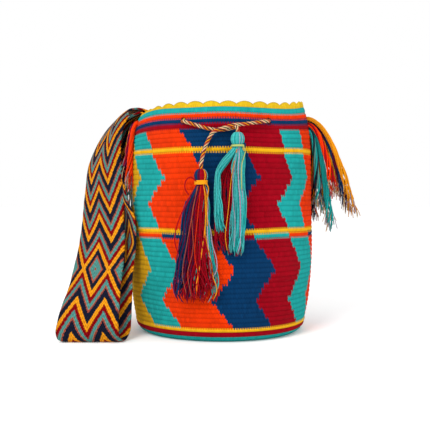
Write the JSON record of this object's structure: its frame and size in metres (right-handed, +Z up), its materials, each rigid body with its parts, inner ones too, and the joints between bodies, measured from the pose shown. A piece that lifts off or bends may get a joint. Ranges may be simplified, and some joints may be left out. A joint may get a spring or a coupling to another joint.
{
  "type": "wayuu mochila bag",
  "caption": "Round crocheted bucket bag with a scalloped rim, a woven shoulder strap draped at one side, a laced drawstring and hanging tassels.",
  "frame": {"origin": "centre of the base's underside, on the surface the bag stands on", "axes": "+Z up through the mouth, -Y towards the front with the tassels, the strap hangs down the -X side"},
  "size_m": [0.3686, 0.2526, 0.2934],
  "materials": {
    "crocheted_wall": "matt tapestry crochet in cotton yarn",
    "woven_strap": "matt warp-faced band in twisted cotton yarn",
    "seam_thread": "matt sewing yarn",
    "twisted_cord": "matt cord twisted from plies of several colours",
    "tassel_yarn_left": "matt loose yarn in navy, dark red and turquoise",
    "tassel_yarn_right": "matt loose yarn in turquoise and dark red",
    "amber_yarn": "matt plied yarn",
    "orange_yarn": "matt plied yarn",
    "turquoise_yarn": "matt plied yarn",
    "navy_yarn": "matt plied yarn",
    "dark_red_yarn": "matt plied yarn"
  },
  "bodies": {
    "bag": {"bag_body": "crocheted_wall", "strap": "woven_strap", "strap_seam_left": "seam_thread", "strap_seam_right": "seam_thread", "drawstring": "twisted_cord", "fringe_right_01": "amber_yarn", "fringe_right_02": "orange_yarn", "fringe_right_03": "turquoise_yarn", "fringe_right_04": "navy_yarn", "fringe_right_05": "turquoise_yarn", "fringe_right_06": "amber_yarn", "fringe_right_07": "amber_yarn", "fringe_right_08": "amber_yarn", "fringe_right_09": "navy_yarn", "fringe_right_10": "dark_red_yarn", "fringe_right_11": "navy_yarn", "fringe_right_12": "turquoise_yarn", "fringe_left_01": "orange_yarn", "fringe_left_02": "turquoise_yarn", "fringe_left_03": "dark_red_yarn", "fringe_left_04": "navy_yarn", "fringe_left_05": "amber_yarn", "fringe_left_06": "turquoise_yarn"},
    "tassel_left": {"tassel_left_yarn": "tassel_yarn_left", "tassel_left_tie": "amber_yarn"},
    "tassel_right": {"tassel_right_yarn": "tassel_yarn_right", "tassel_right_tie": "amber_yarn"}
  },
  "joints": [
    {"name": "tassel_left_swing", "type": "hinge", "parent": "bag", "child": "tassel_left", "pos_m": [-0.0245, -0.127, 0.2074], "axis": [-1, 0, 0], "range_deg": [0, 60]},
    {"name": "tassel_right_swing", "type": "hinge", "parent": "bag", "child": "tassel_right", "pos_m": [0.0175, -0.1255, 0.2496], "axis": [-1, 0, 0], "range_deg": [0, 60]}
  ]
}
